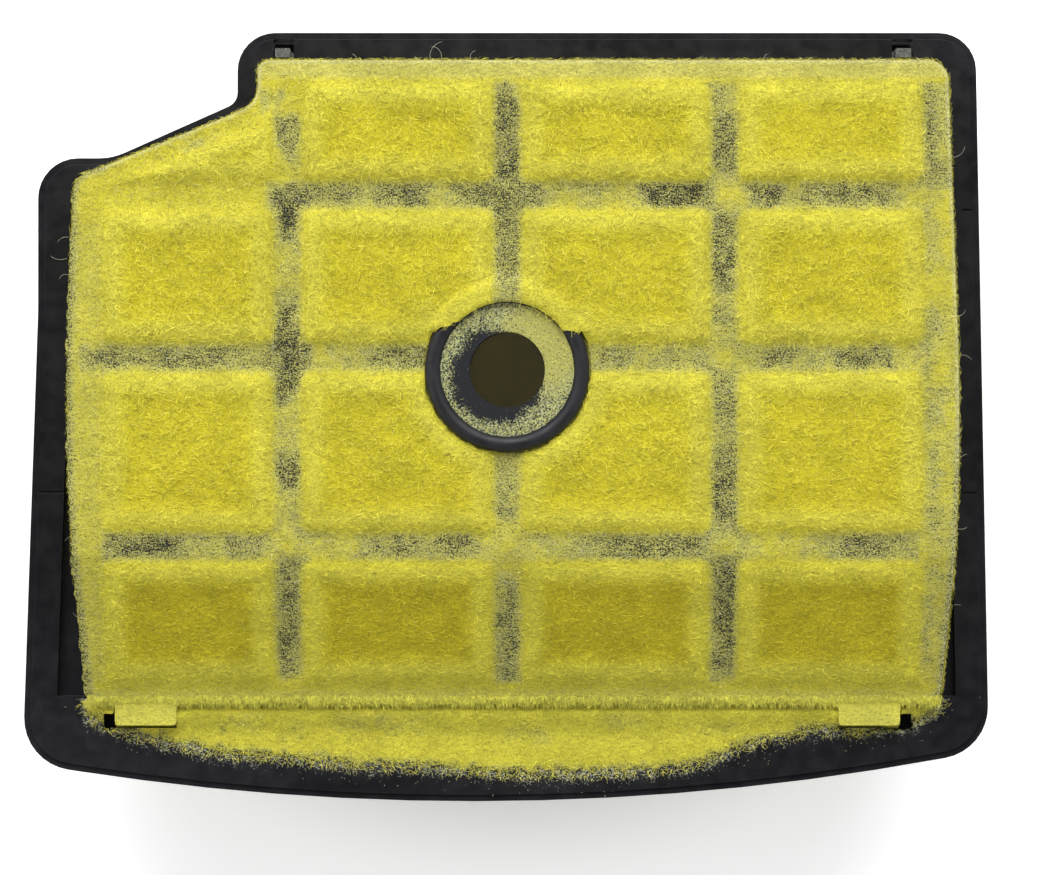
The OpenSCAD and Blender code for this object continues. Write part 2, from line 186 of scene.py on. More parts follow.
def depth_in(outline, x, y):
    """How far (x, y) lies inside a closed outline, negative outside it."""
    px, py = np.ravel(x), np.ravel(y)
    nearest, inside = np.full(px.shape, 1e9), np.zeros(px.shape, bool)
    for (ax, ay), (bx, by) in zip(outline, np.roll(outline, -1, 0)):
        ex, ey = bx - ax, by - ay
        if ex * ex + ey * ey < 1e-12:
            continue
        t = np.clip(((px - ax) * ex + (py - ay) * ey) / (ex * ex + ey * ey), 0, 1)
        nearest = np.minimum(nearest, (px - ax - t * ex) ** 2 + (py - ay - t * ey) ** 2)
        if ey:
            inside ^= ((ay > py) != (by > py)) & (px < ex * (py - ay) / ey + ax)
    return (np.where(inside, 1, -1) * np.sqrt(nearest)).reshape(np.shape(x))


def box_depth(x, y, xs, ys, r):
    """How far (x, y) lies inside a rounded rectangle."""
    qx = np.abs(x - (xs[0] + xs[1]) / 2) - ((xs[1] - xs[0]) / 2 - r)
    qy = np.abs(y - (ys[0] + ys[1]) / 2) - ((ys[1] - ys[0]) / 2 - r)
    return r - np.hypot(np.maximum(qx, 0), np.maximum(qy, 0)) - np.minimum(np.maximum(qx, qy), 0)


class Field:
    """A function of x and y kept on a grid, for reading at many points."""

    def __init__(self, function, step=0.25):
        self.low, self.step = np.array([-70.0, -66.0]), step
        gx, gy = np.meshgrid(np.arange(-70, 70, step), np.arange(-66, 50, step), indexing="ij")
        self.values = function(gx, gy)

    def __call__(self, x, y):
        return read_grid(self.values, (x - self.low[0]) / self.step, (y - self.low[1]) / self.step)


LID_OUTLINE = rounded(LID_CORNERS)
lid_depth = Field(lambda x, y: depth_in(LID_OUTLINE, x, y))


def plastic_top(y):
    """Height of the lid's moulded surface."""
    return np.interp(y, [LID_FRONT, SLOPE_START], [FRONT_TOP, LID_TOP])


def hub_depth(x, y):
    """How far (x, y) is from the bare rubber ring and bush, inside the flock around them."""
    r = np.hypot(x, y)
    angle = np.degrees(np.arctan2(y, x)) % 360
    left = 138 + 14 * np.clip((r - 9.1) / 1.6, 0, 1) + 3 * noise(x, y, 0.5, 21)
    right = 34 - 6 * np.clip((r - 9.2) / 1.4, 0, 1) + 2 * noise(x, y, 0.6, 22)
    across = np.minimum(left - angle, angle - right) * r * math.pi / 180
    ragged = 0.20 * noise(x, y, 1.1, 23) + 0.12 * noise(x, y, 0.5, 24) - 0.1
    return np.maximum(r - RING_OUT + ragged, np.minimum(r - RING_IN, across))


def pane_depth(x, y):
    """How far (x, y) lies inside the nearest box of the grid that the windows are cut from."""
    return np.max([box_depth(x, y, c, r, 1.6) for c in COLUMNS for r in ROWS], axis=0)


def window_depth(x, y):
    """How far (x, y) lies inside the nearest of the lid's windows."""
    return np.minimum(np.minimum(pane_depth(x, y), lid_depth(x, y) - 2.2), hub_depth(x, y) + 0.5)


def cover_of(x, y):
    """From 0 to 1, how much of the surface is hidden by flock."""
    c = 0.64 + 0.12 * noise(x, y, 6, 31) + 0.12 * noise(x, y, 2.2, 32) + 0.08 * noise(x, y, 1.1, 36)
    for rib_x in RIBS_X:
        for rib_y in ROW_LINES[1:4]:
            c = np.maximum(c, 0.86 - 0.12 * np.hypot(x - rib_x, y - rib_y))
    c = np.where(x < -53.6, np.maximum(c, 0.78), c)
    c = lerp(c, np.maximum(c, 0.91), smooth(-24, -32, x) * smooth(19, 21, y))
    c = lerp(c, np.maximum(c, 0.91), smooth(-24, -26, x) * smooth(31, 34, y))
    c = lerp(c, 0.96, smooth(37.6, 38.6, y))
    c = lerp(c, 0.86 + 0.08 * noise(x, y, 2.4, 38), smooth(-43.6, -44.4, y))
    c = np.where((x > 54.5) & (y < 24) & (y > -42), 0.8 + 0.1 * noise(x, y, 2.5, 35), c)
    wander_x, wander_y = 1.3 * noise(x, y, 2.0, 33), 0.9 * noise(x, y, 1.4, 34)
    mottle = 0.12 * noise(x, y, 1.0, 37)
    for x0, x1, y0, y1, left in THIN:
        inside = box_depth(x + wander_x, y + wander_y, (x0, x1), (y0, y1), 0.8)
        c = lerp(c, np.where(y < -43.5, 0.62, 0.24 + 0.6 * left) + mottle, smooth(-1.4, 1.2, inside))
    c = lerp(c, 1.0, smooth(-41.2, -42.6, y) * smooth(-46.4, -45.4, y))
    ragged = smooth(1.3, -0.1, lid_depth(x, y)) * smooth(-44.4, -43.4, y)
    ragged = ragged * np.maximum(smooth(-52, -54, x), smooth(54, 56, x) * smooth(10, -20, y))
    return lerp(c, 0.42, ragged)


cover = Field(cover_of)
window = Field(window_depth, 0.2)


# ---- pillows pressed up through the windows --------------------------------------------------

def add_object(name, data):
    made = bpy.data.objects.new(name, data)
    bpy.context.scene.collection.objects.link(made)
    return made


def grid_object(name, points, nx, ny):
    """A new object: a sheet of nx by ny points."""
    ids = np.arange(nx * ny).reshape(nx, ny)
    quads = np.stack([ids[:-1, :-1], ids[1:, :-1], ids[1:, 1:], ids[:-1, 1:]], -1).reshape(-1, 4)
    mesh = bpy.data.meshes.new(name)
    mesh.from_pydata(points.tolist(), [], quads.tolist())
    return add_object(name, mesh)


def analytic_crown(x, y):
    return smooth(0, 7, window(x, y))


def pressed_crown():
    """The media pressed up through the windows, as a cloth held at the ribs. The cloth is ten times life
    size, which cloth settings suit, and only its height between 0 and 1 is kept."""
    step, grow = 1.3, 10
    xs, ys = np.arange(-59, 61, step), np.arange(-44.5, 41.5, step)
    gx, gy = np.meshgrid(xs, ys, indexing="ij")
    flat = np.stack([gx, gy, np.zeros_like(gx)], -1).reshape(-1, 3)
    nx, ny = gx.shape
    cloth = grid_object("pressed_media", flat * MM * grow, nx, ny)
    mesh = cloth.data
    held = cloth.vertex_groups.new(name="held")
    held.add([int(i) for i in np.flatnonzero(window(flat[:, 0], flat[:, 1]) < 0.5)], 1.0, "REPLACE")
    modifier = cloth.modifiers.new("Cloth", "CLOTH")
    settings = modifier.settings
    settings.quality = 6
    settings.mass = 0.15
    settings.tension_stiffness = settings.compression_stiffness = 12
    settings.shear_stiffness = 6
    settings.bending_stiffness = 0.6
    settings.vertex_group_mass = "held"
    settings.use_pressure = True
    settings.uniform_pressure_force = 14
    settings.effector_weights.gravity = 0
    modifier.collision_settings.use_collision = False
    modifier.collision_settings.use_self_collision = False
    modifier.point_cache.frame_start, modifier.point_cache.frame_end = 1, 20
    for number in range(1, 21):
        bpy.context.scene.frame_set(number)
    depsgraph = bpy.context.evaluated_depsgraph_get()
    result = cloth.evaluated_get(depsgraph).to_mesh()
    co = np.empty(len(flat) * 3, np.float32)
    result.vertices.foreach_get("co", co)
    raised = np.abs(co.reshape(-1, 3)[:, 2]).reshape(nx, ny) / (MM * grow)
    cloth.evaluated_get(depsgraph).to_mesh_clear()
    bpy.data.objects.remove(cloth)
    bpy.data.meshes.remove(mesh)
    bpy.context.scene.frame_set(1)
    top = np.percentile(raised, 97)
    if not np.isfinite(raised).all() or top < 1e-3:
        print("CLOTH: the pressed media did not rise, so its crown is worked out instead")
        return analytic_crown
    raised = np.clip(raised / top, 0, 1.15)
    print("CLOTH: the media rose", round(float(top), 2), "mm before it was scaled")

    return lambda x, y: read_grid(raised, (x - xs[0]) / step, (y - ys[0]) / step)


crown = pressed_crown()


def surface_of(x, y):
    """Height of the flock's surface on the lid. Where it lies below plastic_top, the moulding shows."""
    d = window(x, y)
    lumps = 0.10 * noise(x, y, 4.2, 41) + 0.07 * noise(x, y, 1.7, 42) + 0.05 * noise(x, y, 0.8, 43)
    pad = smooth(-0.8, 1.5, d)
    ridge = np.exp(-(((d - 2.3) / 1.3) ** 2))
    pad_height = 0.62 + 0.38 * crown(x, y) + 0.20 * ridge - 0.16 * smooth(3.2, 5.2, d) + lumps
    coat = 0.05 + 0.16 * np.clip(cover(x, y), 0, 1) + 0.05 * noise(x, y, 0.8, 44) + 0.1 * lumps
    coat = coat - 0.3 * smooth(-44.25, -44.9, y) * (np.abs(np.abs(x) - 48.6) > 4.6)
    h = plastic_top(y) + lerp(coat, pad_height, pad)
    r = np.hypot(x, y)
    over_ring = np.interp(r, [8.7, 9.2, 11.2, 12.8], [35.15, 35.66, 35.66, 34.4]) + 0.3 * lumps
    return np.where(r < 12.8, np.maximum(h, lerp(h, over_ring, hub_sector(x, y))), h)


def hub_sector(x, y):
    """1 where the flock lies over the ring, and 0 elsewhere."""
    angle = np.degrees(np.arctan2(y, x)) % 360
    return smooth(22, 30, angle) * smooth(156, 148, angle)


surface = Field(surface_of, 0.2)


# ---- meshes ----------------------------------------------------------------------------------

def piece(name, points, faces, tint, material, body):
    """A piece of flock that rides on a CAD body: points in mm, faces and one tint a point. A tint's
    fourth number, where it has one, is how much of the moulding under it is hidden."""
    mesh = bpy.data.meshes.new(name)
    sides = faces.shape[1]
    mesh.vertices.add(len(points))
    mesh.vertices.foreach_set("co", (points * MM).astype(np.float32).ravel())
    mesh.loops.add(faces.size)
    mesh.loops.foreach_set("vertex_index", faces.astype(np.int32).ravel())
    mesh.polygons.add(len(faces))
    mesh.polygons.foreach_set("loop_start", np.arange(0, faces.size, sides, dtype=np.int32))
    mesh.polygons.foreach_set("use_smooth", np.ones(len(faces), bool))
    mesh.update(calc_edges=True)
    mesh.validate()
    if sides == 4:
        mesh.set_sharp_from_angle(angle=math.radians(60))
    colours = mesh.color_attributes.new("tint", "FLOAT_COLOR", "POINT")
    rgba = np.ones((len(points), 4), np.float32)
    rgba[:, :tint.shape[1]] = np.clip(tint, 0, 1)
    colours.data.foreach_set("color", rgba.ravel())
    mesh.materials.append(material)
    made = add_object(name, mesh)
    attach(made, body)
    return made


def slab(us, vs, inside, top, bottom, place, tint):
    """Points, faces and tints of a closed slab over the part of a grid where inside(u, v) > 0, snapped
    to that edge. place(u, v, h) puts a height h on the grid into space, and top and bottom give the two
    heights. The underside is deeper in tint."""
    u, v = np.meshgrid(us, vs, indexing="ij")
    kept = inside((u[:-1, :-1] + u[1:, 1:]) / 2, (v[:-1, :-1] + v[1:, 1:]) / 2) > 0
    around = np.zeros(u.shape, int)
    for i in (0, 1):
        for j in (0, 1):
            around[i:i + kept.shape[0], j:j + kept.shape[1]] += kept
    used, edge = around > 0, (around > 0) & (around < 4)
    eu, ev, e = u[edge], v[edge], 0.02
    reach = 0.8 * max(us[1] - us[0], vs[1] - vs[0])
    for _ in range(2):
        d = inside(eu, ev)
        gu = (inside(eu + e, ev) - inside(eu - e, ev)) / (2 * e)
        gv = (inside(eu, ev + e) - inside(eu, ev - e)) / (2 * e)
        move = np.clip(-d / np.maximum(gu * gu + gv * gv, 0.2), -reach, reach)
        eu, ev = eu + move * gu, ev + move * gv
    u[edge], v[edge] = eu, ev
    ids = np.full(u.shape, -1)
    ids[used] = np.arange(used.sum())
    n = int(used.sum())
    pu, pv = u[used], v[used]
    high = top(pu, pv)
    low = np.minimum(bottom(pu, pv), high - 0.3)
    points = np.concatenate([place(pu, pv, high), place(pu, pv, low)])
    a, b, c, d = ids[:-1, :-1][kept], ids[1:, :-1][kept], ids[1:, 1:][kept], ids[:-1, 1:][kept]
    faces = [np.stack([a, b, c, d], -1), np.stack([d, c, b, a], -1) + n]
    padded = np.pad(kept, 1)
    for du, dv, p, q in ((0, -1, a, b), (1, 0, b, c), (0, 1, c, d), (-1, 0, d, a)):
        open_side = ~padded[1 + du:padded.shape[0] - 1 + du, 1 + dv:padded.shape[1] - 1 + dv][kept]
        faces.append(np.stack([p, p + n, q + n, q], -1)[open_side])
    tints = tint(pu, pv)
    under = tints * 0.62
    under[:, 3:] = 0.9
    return points, np.concatenate(faces), np.concatenate([tints, under])


def hairs(paths, radius, tint):
    """Points, faces and tints of closed, tapered, three-sided hairs, along paths of shape
    (hairs, points, 3)."""
    n, k, _ = paths.shape
    along = unit(np.gradient(paths, axis=1))
    across = np.where(np.abs(along[..., 2:3]) < 0.9, [0.0, 0.0, 1.0], [1.0, 0.0, 0.0])
    side = unit(np.cross(along, across))
    up = np.cross(along, side)
    taper = (1 - 0.5 * np.arange(k - 1) / (k - 1))[None, :, None, None]
    turn = np.radians([90, 210, 330])[None, None, :, None]
    ring = side[:, :-1, None] * np.cos(turn) + up[:, :-1, None] * np.sin(turn)
    rings = paths[:, :-1, None] + np.asarray(radius)[:, None, None, None] * taper * ring
    points = np.concatenate([rings.reshape(n, -1, 3), paths[:, -1:]], 1)
    faces = [(0, 2, 1)]
    for s in range(k - 2):
        for a in range(3):
            p, q = 3 * s + a, 3 * s + (a + 1) % 3
            faces += [(p, q, q + 3), (p, q + 3, p + 3)]
    last = 3 * (k - 2)
    faces += [(last + a, last + (a + 1) % 3, 3 * (k - 1)) for a in range(3)]
    count = points.shape[1]
    every = (np.array(faces)[None] + count * np.arange(n)[:, None, None]).reshape(-1, 3)
    shade = np.repeat(tint[:, None], count, 1)
    # painted shade: the ring of points at each hair's root is darkened, where the hair meets the mat
    shade[:, :3] *= 0.72
    return points.reshape(-1, 3), every, shade.reshape(-1, 3)


def scatter(count, xs, ys, chance, seed):
    """Points spread over a rectangle, each kept with the chance there."""
    r = np.random.default_rng(seed)
    x, y = r.uniform(*xs, count), r.uniform(*ys, count)
    kept = r.uniform(0, 1, count) < chance(x, y)
    return x[kept], y[kept], r


def any_way(r, n):
    return r.uniform(0, 2 * math.pi, n)


def lying_hairs(x, y, r, ground, angle, length, lift):
    """Paths of hairs that lie on a ground(x, y) and lift away from it towards their tips."""
    n = len(x)
    bend = r.normal(0, 0.25, n)
    steps = []
    for t, raised in ((0, 0.0), (0.5, 0.75), (1, 1.0)):
        a = angle + bend * t
        px, py = x + length * t * np.cos(a), y + length * t * np.sin(a)
        steps.append(np.stack([px, py, ground(px, py) + lift * raised - 0.03 * (1 - t)], -1))
    return np.stack(steps, 1)


# ---- materials -------------------------------------------------------------------------------

class Nodes:
    """A short way to write one node material."""

    def __init__(self, name, **sockets):
        self.material = bpy.data.materials.new(name)
        self.material.use_nodes = True
        self.tree = self.material.node_tree
        self.shader = self.tree.nodes["Principled BSDF"]
        self.object = self.add("ShaderNodeTexCoord").outputs["Object"]
        for socket, value in sockets.items():
            self.shader.inputs[socket.replace("_", " ")].default_value = value

    def add(self, kind, **values):
        node = self.tree.nodes.new(kind)
        for name, value in values.items():
            setattr(node, name, value)
        return node

    def link(self, start, end):
        self.tree.links.new(start, end)

    def noise(self, scale, detail=3.0, roughness=0.55, stretch=None, distortion=0.0):
        node = self.add("ShaderNodeTexNoise")
        node.inputs["Scale"].default_value = scale
        node.inputs["Detail"].default_value = detail
        node.inputs["Roughness"].default_value = roughness
        node.inputs["Distortion"].default_value = distortion
        if stretch:
            mapping = self.add("ShaderNodeMapping")
            mapping.inputs["Scale"].default_value = stretch
            self.link(self.object, mapping.inputs["Vector"])
            self.link(mapping.outputs["Vector"], node.inputs["Vector"])
        else:
            self.link(self.object, node.inputs["Vector"])
        return node.outputs["Fac"]

    def range(self, value, low, high, to_low, to_high, kind="SMOOTHSTEP"):
        node = self.add("ShaderNodeMapRange", interpolation_type=kind)
        for name, number in zip(("From Min", "From Max", "To Min", "To Max"), (low, high, to_low, to_high)):
            node.inputs[name].default_value = number
        self.link(value, node.inputs["Value"])
        return node.outputs["Result"]

    def patches(self, scale, detail=3, low=0.35, high=0.65):
        """Soft patches, from 0 to 1."""
        return self.range(self.noise(scale, detail), low, high, 0.0, 1.0)

    def vary(self, scale, detail, low, high):
        """A value that wanders from low to high."""
        return self.range(self.noise(scale, detail), 0.3, 0.7, low, high)

    def maths(self, operation, a, b):
        node = self.add("ShaderNodeMath", operation=operation)
        for socket, value in zip(node.inputs, (a, b)):
            if isinstance(value, (int, float)):
                socket.default_value = value
            else:
                self.link(value, socket)
        return node.outputs[0]

    def mix(self, factor, a, b, blend="MIX"):
        node = self.add("ShaderNodeMix", data_type="RGBA", blend_type=blend)
        for socket, value in zip((node.inputs["Factor"], node.inputs[6], node.inputs[7]), (factor, a, b)):
            if isinstance(value, (int, float)):
                socket.default_value = value
            elif isinstance(value, tuple):
                socket.default_value = (*value, 1.0)
            else:
                self.link(value, socket)
        return node.outputs[2]

    def attribute(self, name, output):
        return self.add("ShaderNodeAttribute", attribute_name=name).outputs[output]

    def distance(self, x, y):
        """Distance in metres from a line through (x, y) along Z."""
        flat = self.add("ShaderNodeVectorMath", operation="MULTIPLY")
        flat.inputs[1].default_value = (1, 1, 0)
        self.link(self.object, flat.inputs[0])
        node = self.add("ShaderNodeVectorMath", operation="DISTANCE")
        node.inputs[1].default_value = (x * MM, y * MM, 0)
        self.link(flat.outputs["Vector"], node.inputs[0])
        return node.outputs["Value"]

    def colour(self, value):
        self.link(value, self.shader.inputs["Base Color"])

    def rough(self, value):
        self.link(value, self.shader.inputs["Roughness"])

    def bump(self, height, strength, distance):
        node = self.add("ShaderNodeBump")
        node.inputs["Strength"].default_value = strength
        node.inputs["Distance"].default_value = distance * MM
        self.link(height, node.inputs["Height"])
        self.link(node.outputs["Normal"], self.shader.inputs["Normal"])


def see_through(m, colour, share):
    """Lets a share of the light through the flock, which takes on its colour."""
    glow = m.add("ShaderNodeBsdfTranslucent")
    both = m.add("ShaderNodeMixShader")
    both.inputs[0].default_value = share
    m.link(colour, glow.inputs["Color"])
    m.link(m.shader.outputs[0], both.inputs[1])
    m.link(glow.outputs[0], both.inputs[2])
    m.link(both.outputs[0], m.tree.nodes["Material Output"].inputs["Surface"])


def flock_material(name, fibre):
    """Short dyed fibres: the mat they make, or the fibres that stand out of it."""
    m = Nodes(name, Sheen_Weight=0.3, Sheen_Roughness=0.45, Specular_IOR_Level=0.2)
    m.shader.inputs["Sheen Tint"].default_value = (1.0, 0.95, 0.45, 1)
    tint = m.attribute("tint", "Color")
    broad = m.vary(240, 3, 0.92, 1.08)
    if fibre:
        fine = m.vary(1400, 2, 0.82, 1.18)
        m.colour(m.mix(1.0, m.mix(1.0, tint, fine, "MULTIPLY"), broad, "MULTIPLY"))
        m.rough(m.vary(900, 2, 0.5, 0.7))
        return m.material
    threads = m.noise(1900, 6, 0.75, stretch=(0.6, 1.6, 1.0), distortion=1.0)
    grain = m.noise(4600, 4, 0.7)
    height = m.maths("ADD", m.maths("MULTIPLY", threads, 0.5), m.maths("MULTIPLY", grain, 0.5))
    # the mat is darker where the thread and grain height is low: partly the fibres' own mottle, partly
    # painted shade in the hollows between them
    shade = m.range(height, 0.34, 0.60, 0.62, 1.12)
    dyed = m.mix(1.0, m.mix(1.0, tint, shade, "MULTIPLY"), broad, "MULTIPLY")
    speck = m.maths("ADD", m.maths("MULTIPLY", grain, 0.7), m.maths("MULTIPLY", threads, 0.3))
    wanted = m.range(m.attribute("tint", "Alpha"), 0.0, 1.0, 0.62, 0.33, "LINEAR")
    hidden = m.range(m.maths("SUBTRACT", speck, wanted), -0.06, 0.06, 0.0, 1.0)
    colour = m.mix(hidden, (0.03, 0.031, 0.03), dyed)
    m.colour(colour)
    m.rough(m.range(grain, 0.3, 0.7, 0.75, 0.95))
    m.bump(height, 0.9, 0.3)
    see_through(m, colour, 0.38)
    return m.material


RIM_DARK, RIM_LIGHT = (0.005, 0.005, 0.0065), (0.009, 0.009, 0.0115)


def nylon_material(name, dark, light, roughness, flock=None):
    """Satin moulded nylon with a fine grain, faint scuffs and, on the lid, flock that has stuck to it."""
    m = Nodes(name, Specular_IOR_Level=0.3)
    broad = m.patches(60)
    colour = m.mix(broad, dark, light)
    scuff = m.range(m.noise(700, 4, 0.7, stretch=(0.25, 2.0, 1.0)), 0.62, 0.75, 0.0, 0.35)
    colour = m.mix(scuff, colour, tuple(2.2 * c for c in light))
    grain = m.noise(5200, 2, 0.5)
    rough = m.vary(420, 4, roughness - 0.06, roughness + 0.1)
    if flock:
        thin, thick = flock
        speck = m.noise(4200, 5, 0.85)
        patches = m.range(m.noise(700, 3), 0.35, 0.65, thick, thin)
        stuck = m.range(m.maths("SUBTRACT", speck, patches), -0.02, 0.05, 0.0, 1.0)
        fleck = m.mix(m.patches(3100, 2), tuple(DUSTY * 0.5), tuple(BRIGHT * 0.55))
        colour = m.mix(stuck, colour, fleck)
        rough = m.maths("MAXIMUM", rough, m.maths("MULTIPLY", stuck, 0.9))
        grain = m.maths("ADD", m.maths("MULTIPLY", grain, 0.2), stuck)
        m.bump(grain, 0.6, 0.1)
    else:
        m.bump(grain, 0.25, 0.04)
    m.colour(colour)
    m.rough(rough)
    return m.material


def rim_material(name):
    """The housing's nylon, with a dusting of pale fibre ends beyond the flock's ragged edge on the rim."""
    m = Nodes(name, Specular_IOR_Level=0.3)
    place = m.add("ShaderNodeSeparateXYZ")
    m.link(m.object, place.inputs[0])
    x, y, z = place.outputs
    # the flock's edge as a curve: X in and Y out, both fitted to the curve node's 0 to 1
    curve = m.add("ShaderNodeFloatCurve")
    m.link(m.range(x, -0.06, 0.06, 0.0, 1.0, "LINEAR"), curve.inputs["Value"])
    points = curve.mapping.curves[0].points
    spots = [((px + 60) / 120, (py + 56) / 14) for px, py in APRON_EDGE]
    points[0].location, points[1].location = spots[0], spots[-1]
    for spot in spots[1:-1]:
        points.new(*spot)
    curve.mapping.update()
    edge = m.range(curve.outputs[0], 0.0, 1.0, -0.056, -0.042, "LINEAR")
    wander = m.maths("MULTIPLY", m.maths("SUBTRACT", m.noise(500, 3), 0.5), 0.004)
    beyond = m.maths("ADD", m.maths("SUBTRACT", y, edge), wander)
    thin = m.range(beyond, -0.0024, 0.0008, 0.0, 1.0)
    front = m.range(y, -0.0442, -0.0438, 1.0, 0.0)
    upper = m.range(z, 0.0234, 0.0238, 0.0, 1.0)
    thin = m.maths("MULTIPLY", m.maths("MULTIPLY", thin, front), upper)
    wanted = m.range(thin, 0.0, 1.0, 0.70, 0.52, "LINEAR")
    ends = m.range(m.maths("SUBTRACT", m.noise(3600, 5, 0.9), wanted), -0.01, 0.03, 0.0, 1.0)
    broad = m.patches(60)
    m.colour(m.mix(ends, m.mix(broad, RIM_DARK, RIM_LIGHT), (0.40, 0.41, 0.30)))
    satin = m.vary(420, 4, 0.32, 0.48)
    m.rough(m.maths("MAXIMUM", satin, m.maths("MULTIPLY", ends, 0.9)))
    m.bump(m.maths("ADD", m.maths("MULTIPLY", m.noise(5200, 2), 0.3), ends), 0.3, 0.06)
    return m.material


def rubber_material(name):
    m = Nodes(name, Specular_IOR_Level=0.32)
    broad = m.patches(300, 3, 0.3, 0.7)
    dust = m.range(m.noise(2600, 4, 0.8), 0.66, 0.74, 0.0, 0.35)
    m.colour(m.mix(dust, m.mix(broad, (0.008, 0.008, 0.01), (0.016, 0.016, 0.02)), (0.16, 0.16, 0.10)))
    m.rough(m.vary(500, 3, 0.44, 0.58))
    m.bump(m.noise(3800, 3), 0.3, 0.05)
    return m.material


def foam_material(name):
    m = Nodes(name, Specular_IOR_Level=0.3)
    cells = m.noise(3600, 4, 0.7)
    m.colour(m.mix(m.range(cells, 0.4, 0.6, 0.0, 1.0), (0.012, 0.012, 0.013), (0.035, 0.035, 0.038)))
    m.rough(m.range(cells, 0.4, 0.6, 0.8, 0.95))
    m.bump(cells, 0.6, 0.1)
    return m.material


def catch_material(name):
    """Nylon worn grey and dusted where a thumb pushes it."""
    m = Nodes(name, Specular_IOR_Level=0.4)
    dust = m.range(m.noise(2600, 4, 0.75), 0.42, 0.6, 0.0, 1.0)
    fine = m.range(m.noise(6000, 2), 0.5, 0.7, 0.0, 0.6)
    colour = m.mix(dust, (0.03, 0.031, 0.033), (0.115, 0.118, 0.12))
    m.colour(m.mix(fine, colour, (0.25, 0.255, 0.245)))
    m.rough(m.range(dust, 0.0, 1.0, 0.5, 0.85))
    m.bump(m.noise(4200, 3), 0.5, 0.08)
    return m.material


def bush_material(name):
    """Black nylon under speckled flock, left bare in a crescent beside the hole."""
    m = Nodes(name, Specular_IOR_Level=0.25)
    speck = m.noise(3800, 4, 0.85)
    broad = m.noise(420, 3)
    wander = m.maths("MULTIPLY", m.maths("SUBTRACT", broad, 0.5), 0.003)
    bare = m.range(m.maths("ADD", m.distance(-1.3, -0.8), wander), 0.0047, 0.0071, 0.0, 1.0)
    rich = m.range(m.distance(4.6, 3.2), 0.0085, 0.0035, 0.0, 1.0)
    need = m.maths("SUBTRACT", 0.68, m.maths("MULTIPLY", bare, 0.20))
    need = m.maths("SUBTRACT", need, m.maths("MULTIPLY", rich, 0.08))
    stuck = m.range(m.maths("SUBTRACT", speck, need), -0.025, 0.03, 0.0, 1.0)
    flock = m.mix(m.patches(3000), (0.26, 0.28, 0.15), (0.46, 0.47, 0.23))
    flock = m.mix(rich, flock, (0.36, 0.345, 0.10))
    m.colour(m.mix(stuck, (0.014, 0.0145, 0.017), flock))
    m.rough(m.range(stuck, 0.0, 1.0, 0.45, 0.9))
    m.bump(m.maths("ADD", stuck, m.maths("MULTIPLY", speck, 0.4)), 0.6, 0.09)
    return m.material


FLOCK = flock_material("flock_mat", False)
FIBRE = flock_material("flock_fibre", True)
BLACK = nylon_material("black_nylon_satin", RIM_DARK, RIM_LIGHT, 0.38)
LID_BLACK = nylon_material(
    "black_nylon_flocked", (0.012, 0.012, 0.014), (0.02, 0.02, 0.023), 0.5, flock=(0.46, 0.36)
)


def dress(name, material, bevel=0.0):
    """Gives a CAD node its material and, where asked, softly rounded edges."""
    node = NODES[name]
    node.data.materials.clear()
    node.data.materials.append(material)
    if bevel:
        node.modifiers.new("Join", "WELD").merge_threshold = 1e-6
        round_off = node.modifiers.new("Round", "BEVEL")
        round_off.width = bevel * MM
        round_off.segments = 3
        round_off.limit_method = "ANGLE"
        round_off.angle_limit = math.radians(40)
        round_off.harden_normals = False
        round_off.use_clamp_overlap = True


dress("base_rim", rim_material("black_nylon_rim"), 0.35)
dress("tub_walls", BLACK)
dress("tub_floor", BLACK)
dress("lid_frame", LID_BLACK)
dress("centre_support", BLACK)
dress("centre_bush", bush_material("bush_flocked"))
dress("centre_seal", rubber_material("seal_rubber_worn"))
dress("intake_seal", rubber_material("intake_rubber"))
dress("rim_gasket", foam_material("gasket_foam_cells"))
CATCH = catch_material("catch_nylon_dusty")
dress("catch_left", CATCH, 0.15)
dress("catch_right", CATCH, 0.15)


# ---- the lid's flocked media -----------------------------------------------------------------

def level(u, v, h):
    return np.stack([u, v, h], -1)


def lid_tint(x, y):
    """Colour of the flock mat on the lid and the rim."""
    d = window(x, y)
    inner = smooth(1.8, 4.6, d) * (0.35 + 0.65 * smooth(-10, -27, y)) + 0.16 * noise(x, y, 3.1, 51)
    tint = blend_tints(BRIGHT, DEEP, np.clip(inner, 0, 1) * 0.62)
    tint = blend_tints(tint, PALE, 0.35 * np.exp(-(((d - 1.8) / 1.4) ** 2)))
    # painted highlight: the flock along the foot of the front slope is tinted pale to read as a lit band,
    # though the slope there faces away from the softbox
    tint = blend_tints(tint, PALE, 0.6 * smooth(-42.2, -43.6, y))
    off_pad = smooth(0.9, -0.5, d)
    tint = blend_tints(tint, DUSTY, off_pad * (0.15 + 0.8 * smooth(0.95, 0.5, cover(x, y))))
    crisp = smooth(0.55, 0.1, lid_depth(x, y)) * smooth(-44, -42, y) * smooth(-56, -53, x)
    crisp = np.maximum(crisp, 0.35 * smooth(38.2, 39.2, y))
    tint = blend_tints(tint, np.array([0.80, 0.79, 0.46]), 0.75 * crisp)
    return np.concatenate([tint, lerp(1.0, cover(x, y), off_pad)[..., None]], -1)


def overhang(x, y):
    """How far the flock stands out past the lid's edge: ragged at the front and left, crisp elsewhere."""
    front = 0.5 * smooth(-43.2, -44.2, y) * (1 + 0.5 * noise(x, y, 0.9, 52))
    ragged = 0.16 + 0.25 * noise(x, y, 1.3, 53) + 0.2 * noise(x, y, 0.6, 54)
    left = smooth(-53, -55, x) * smooth(27, 25, y) * ragged
    left = left + 0.55 * smooth(-53, -55, x) * smooth(-20, -43, y)
    return np.maximum(front, left) - 0.12


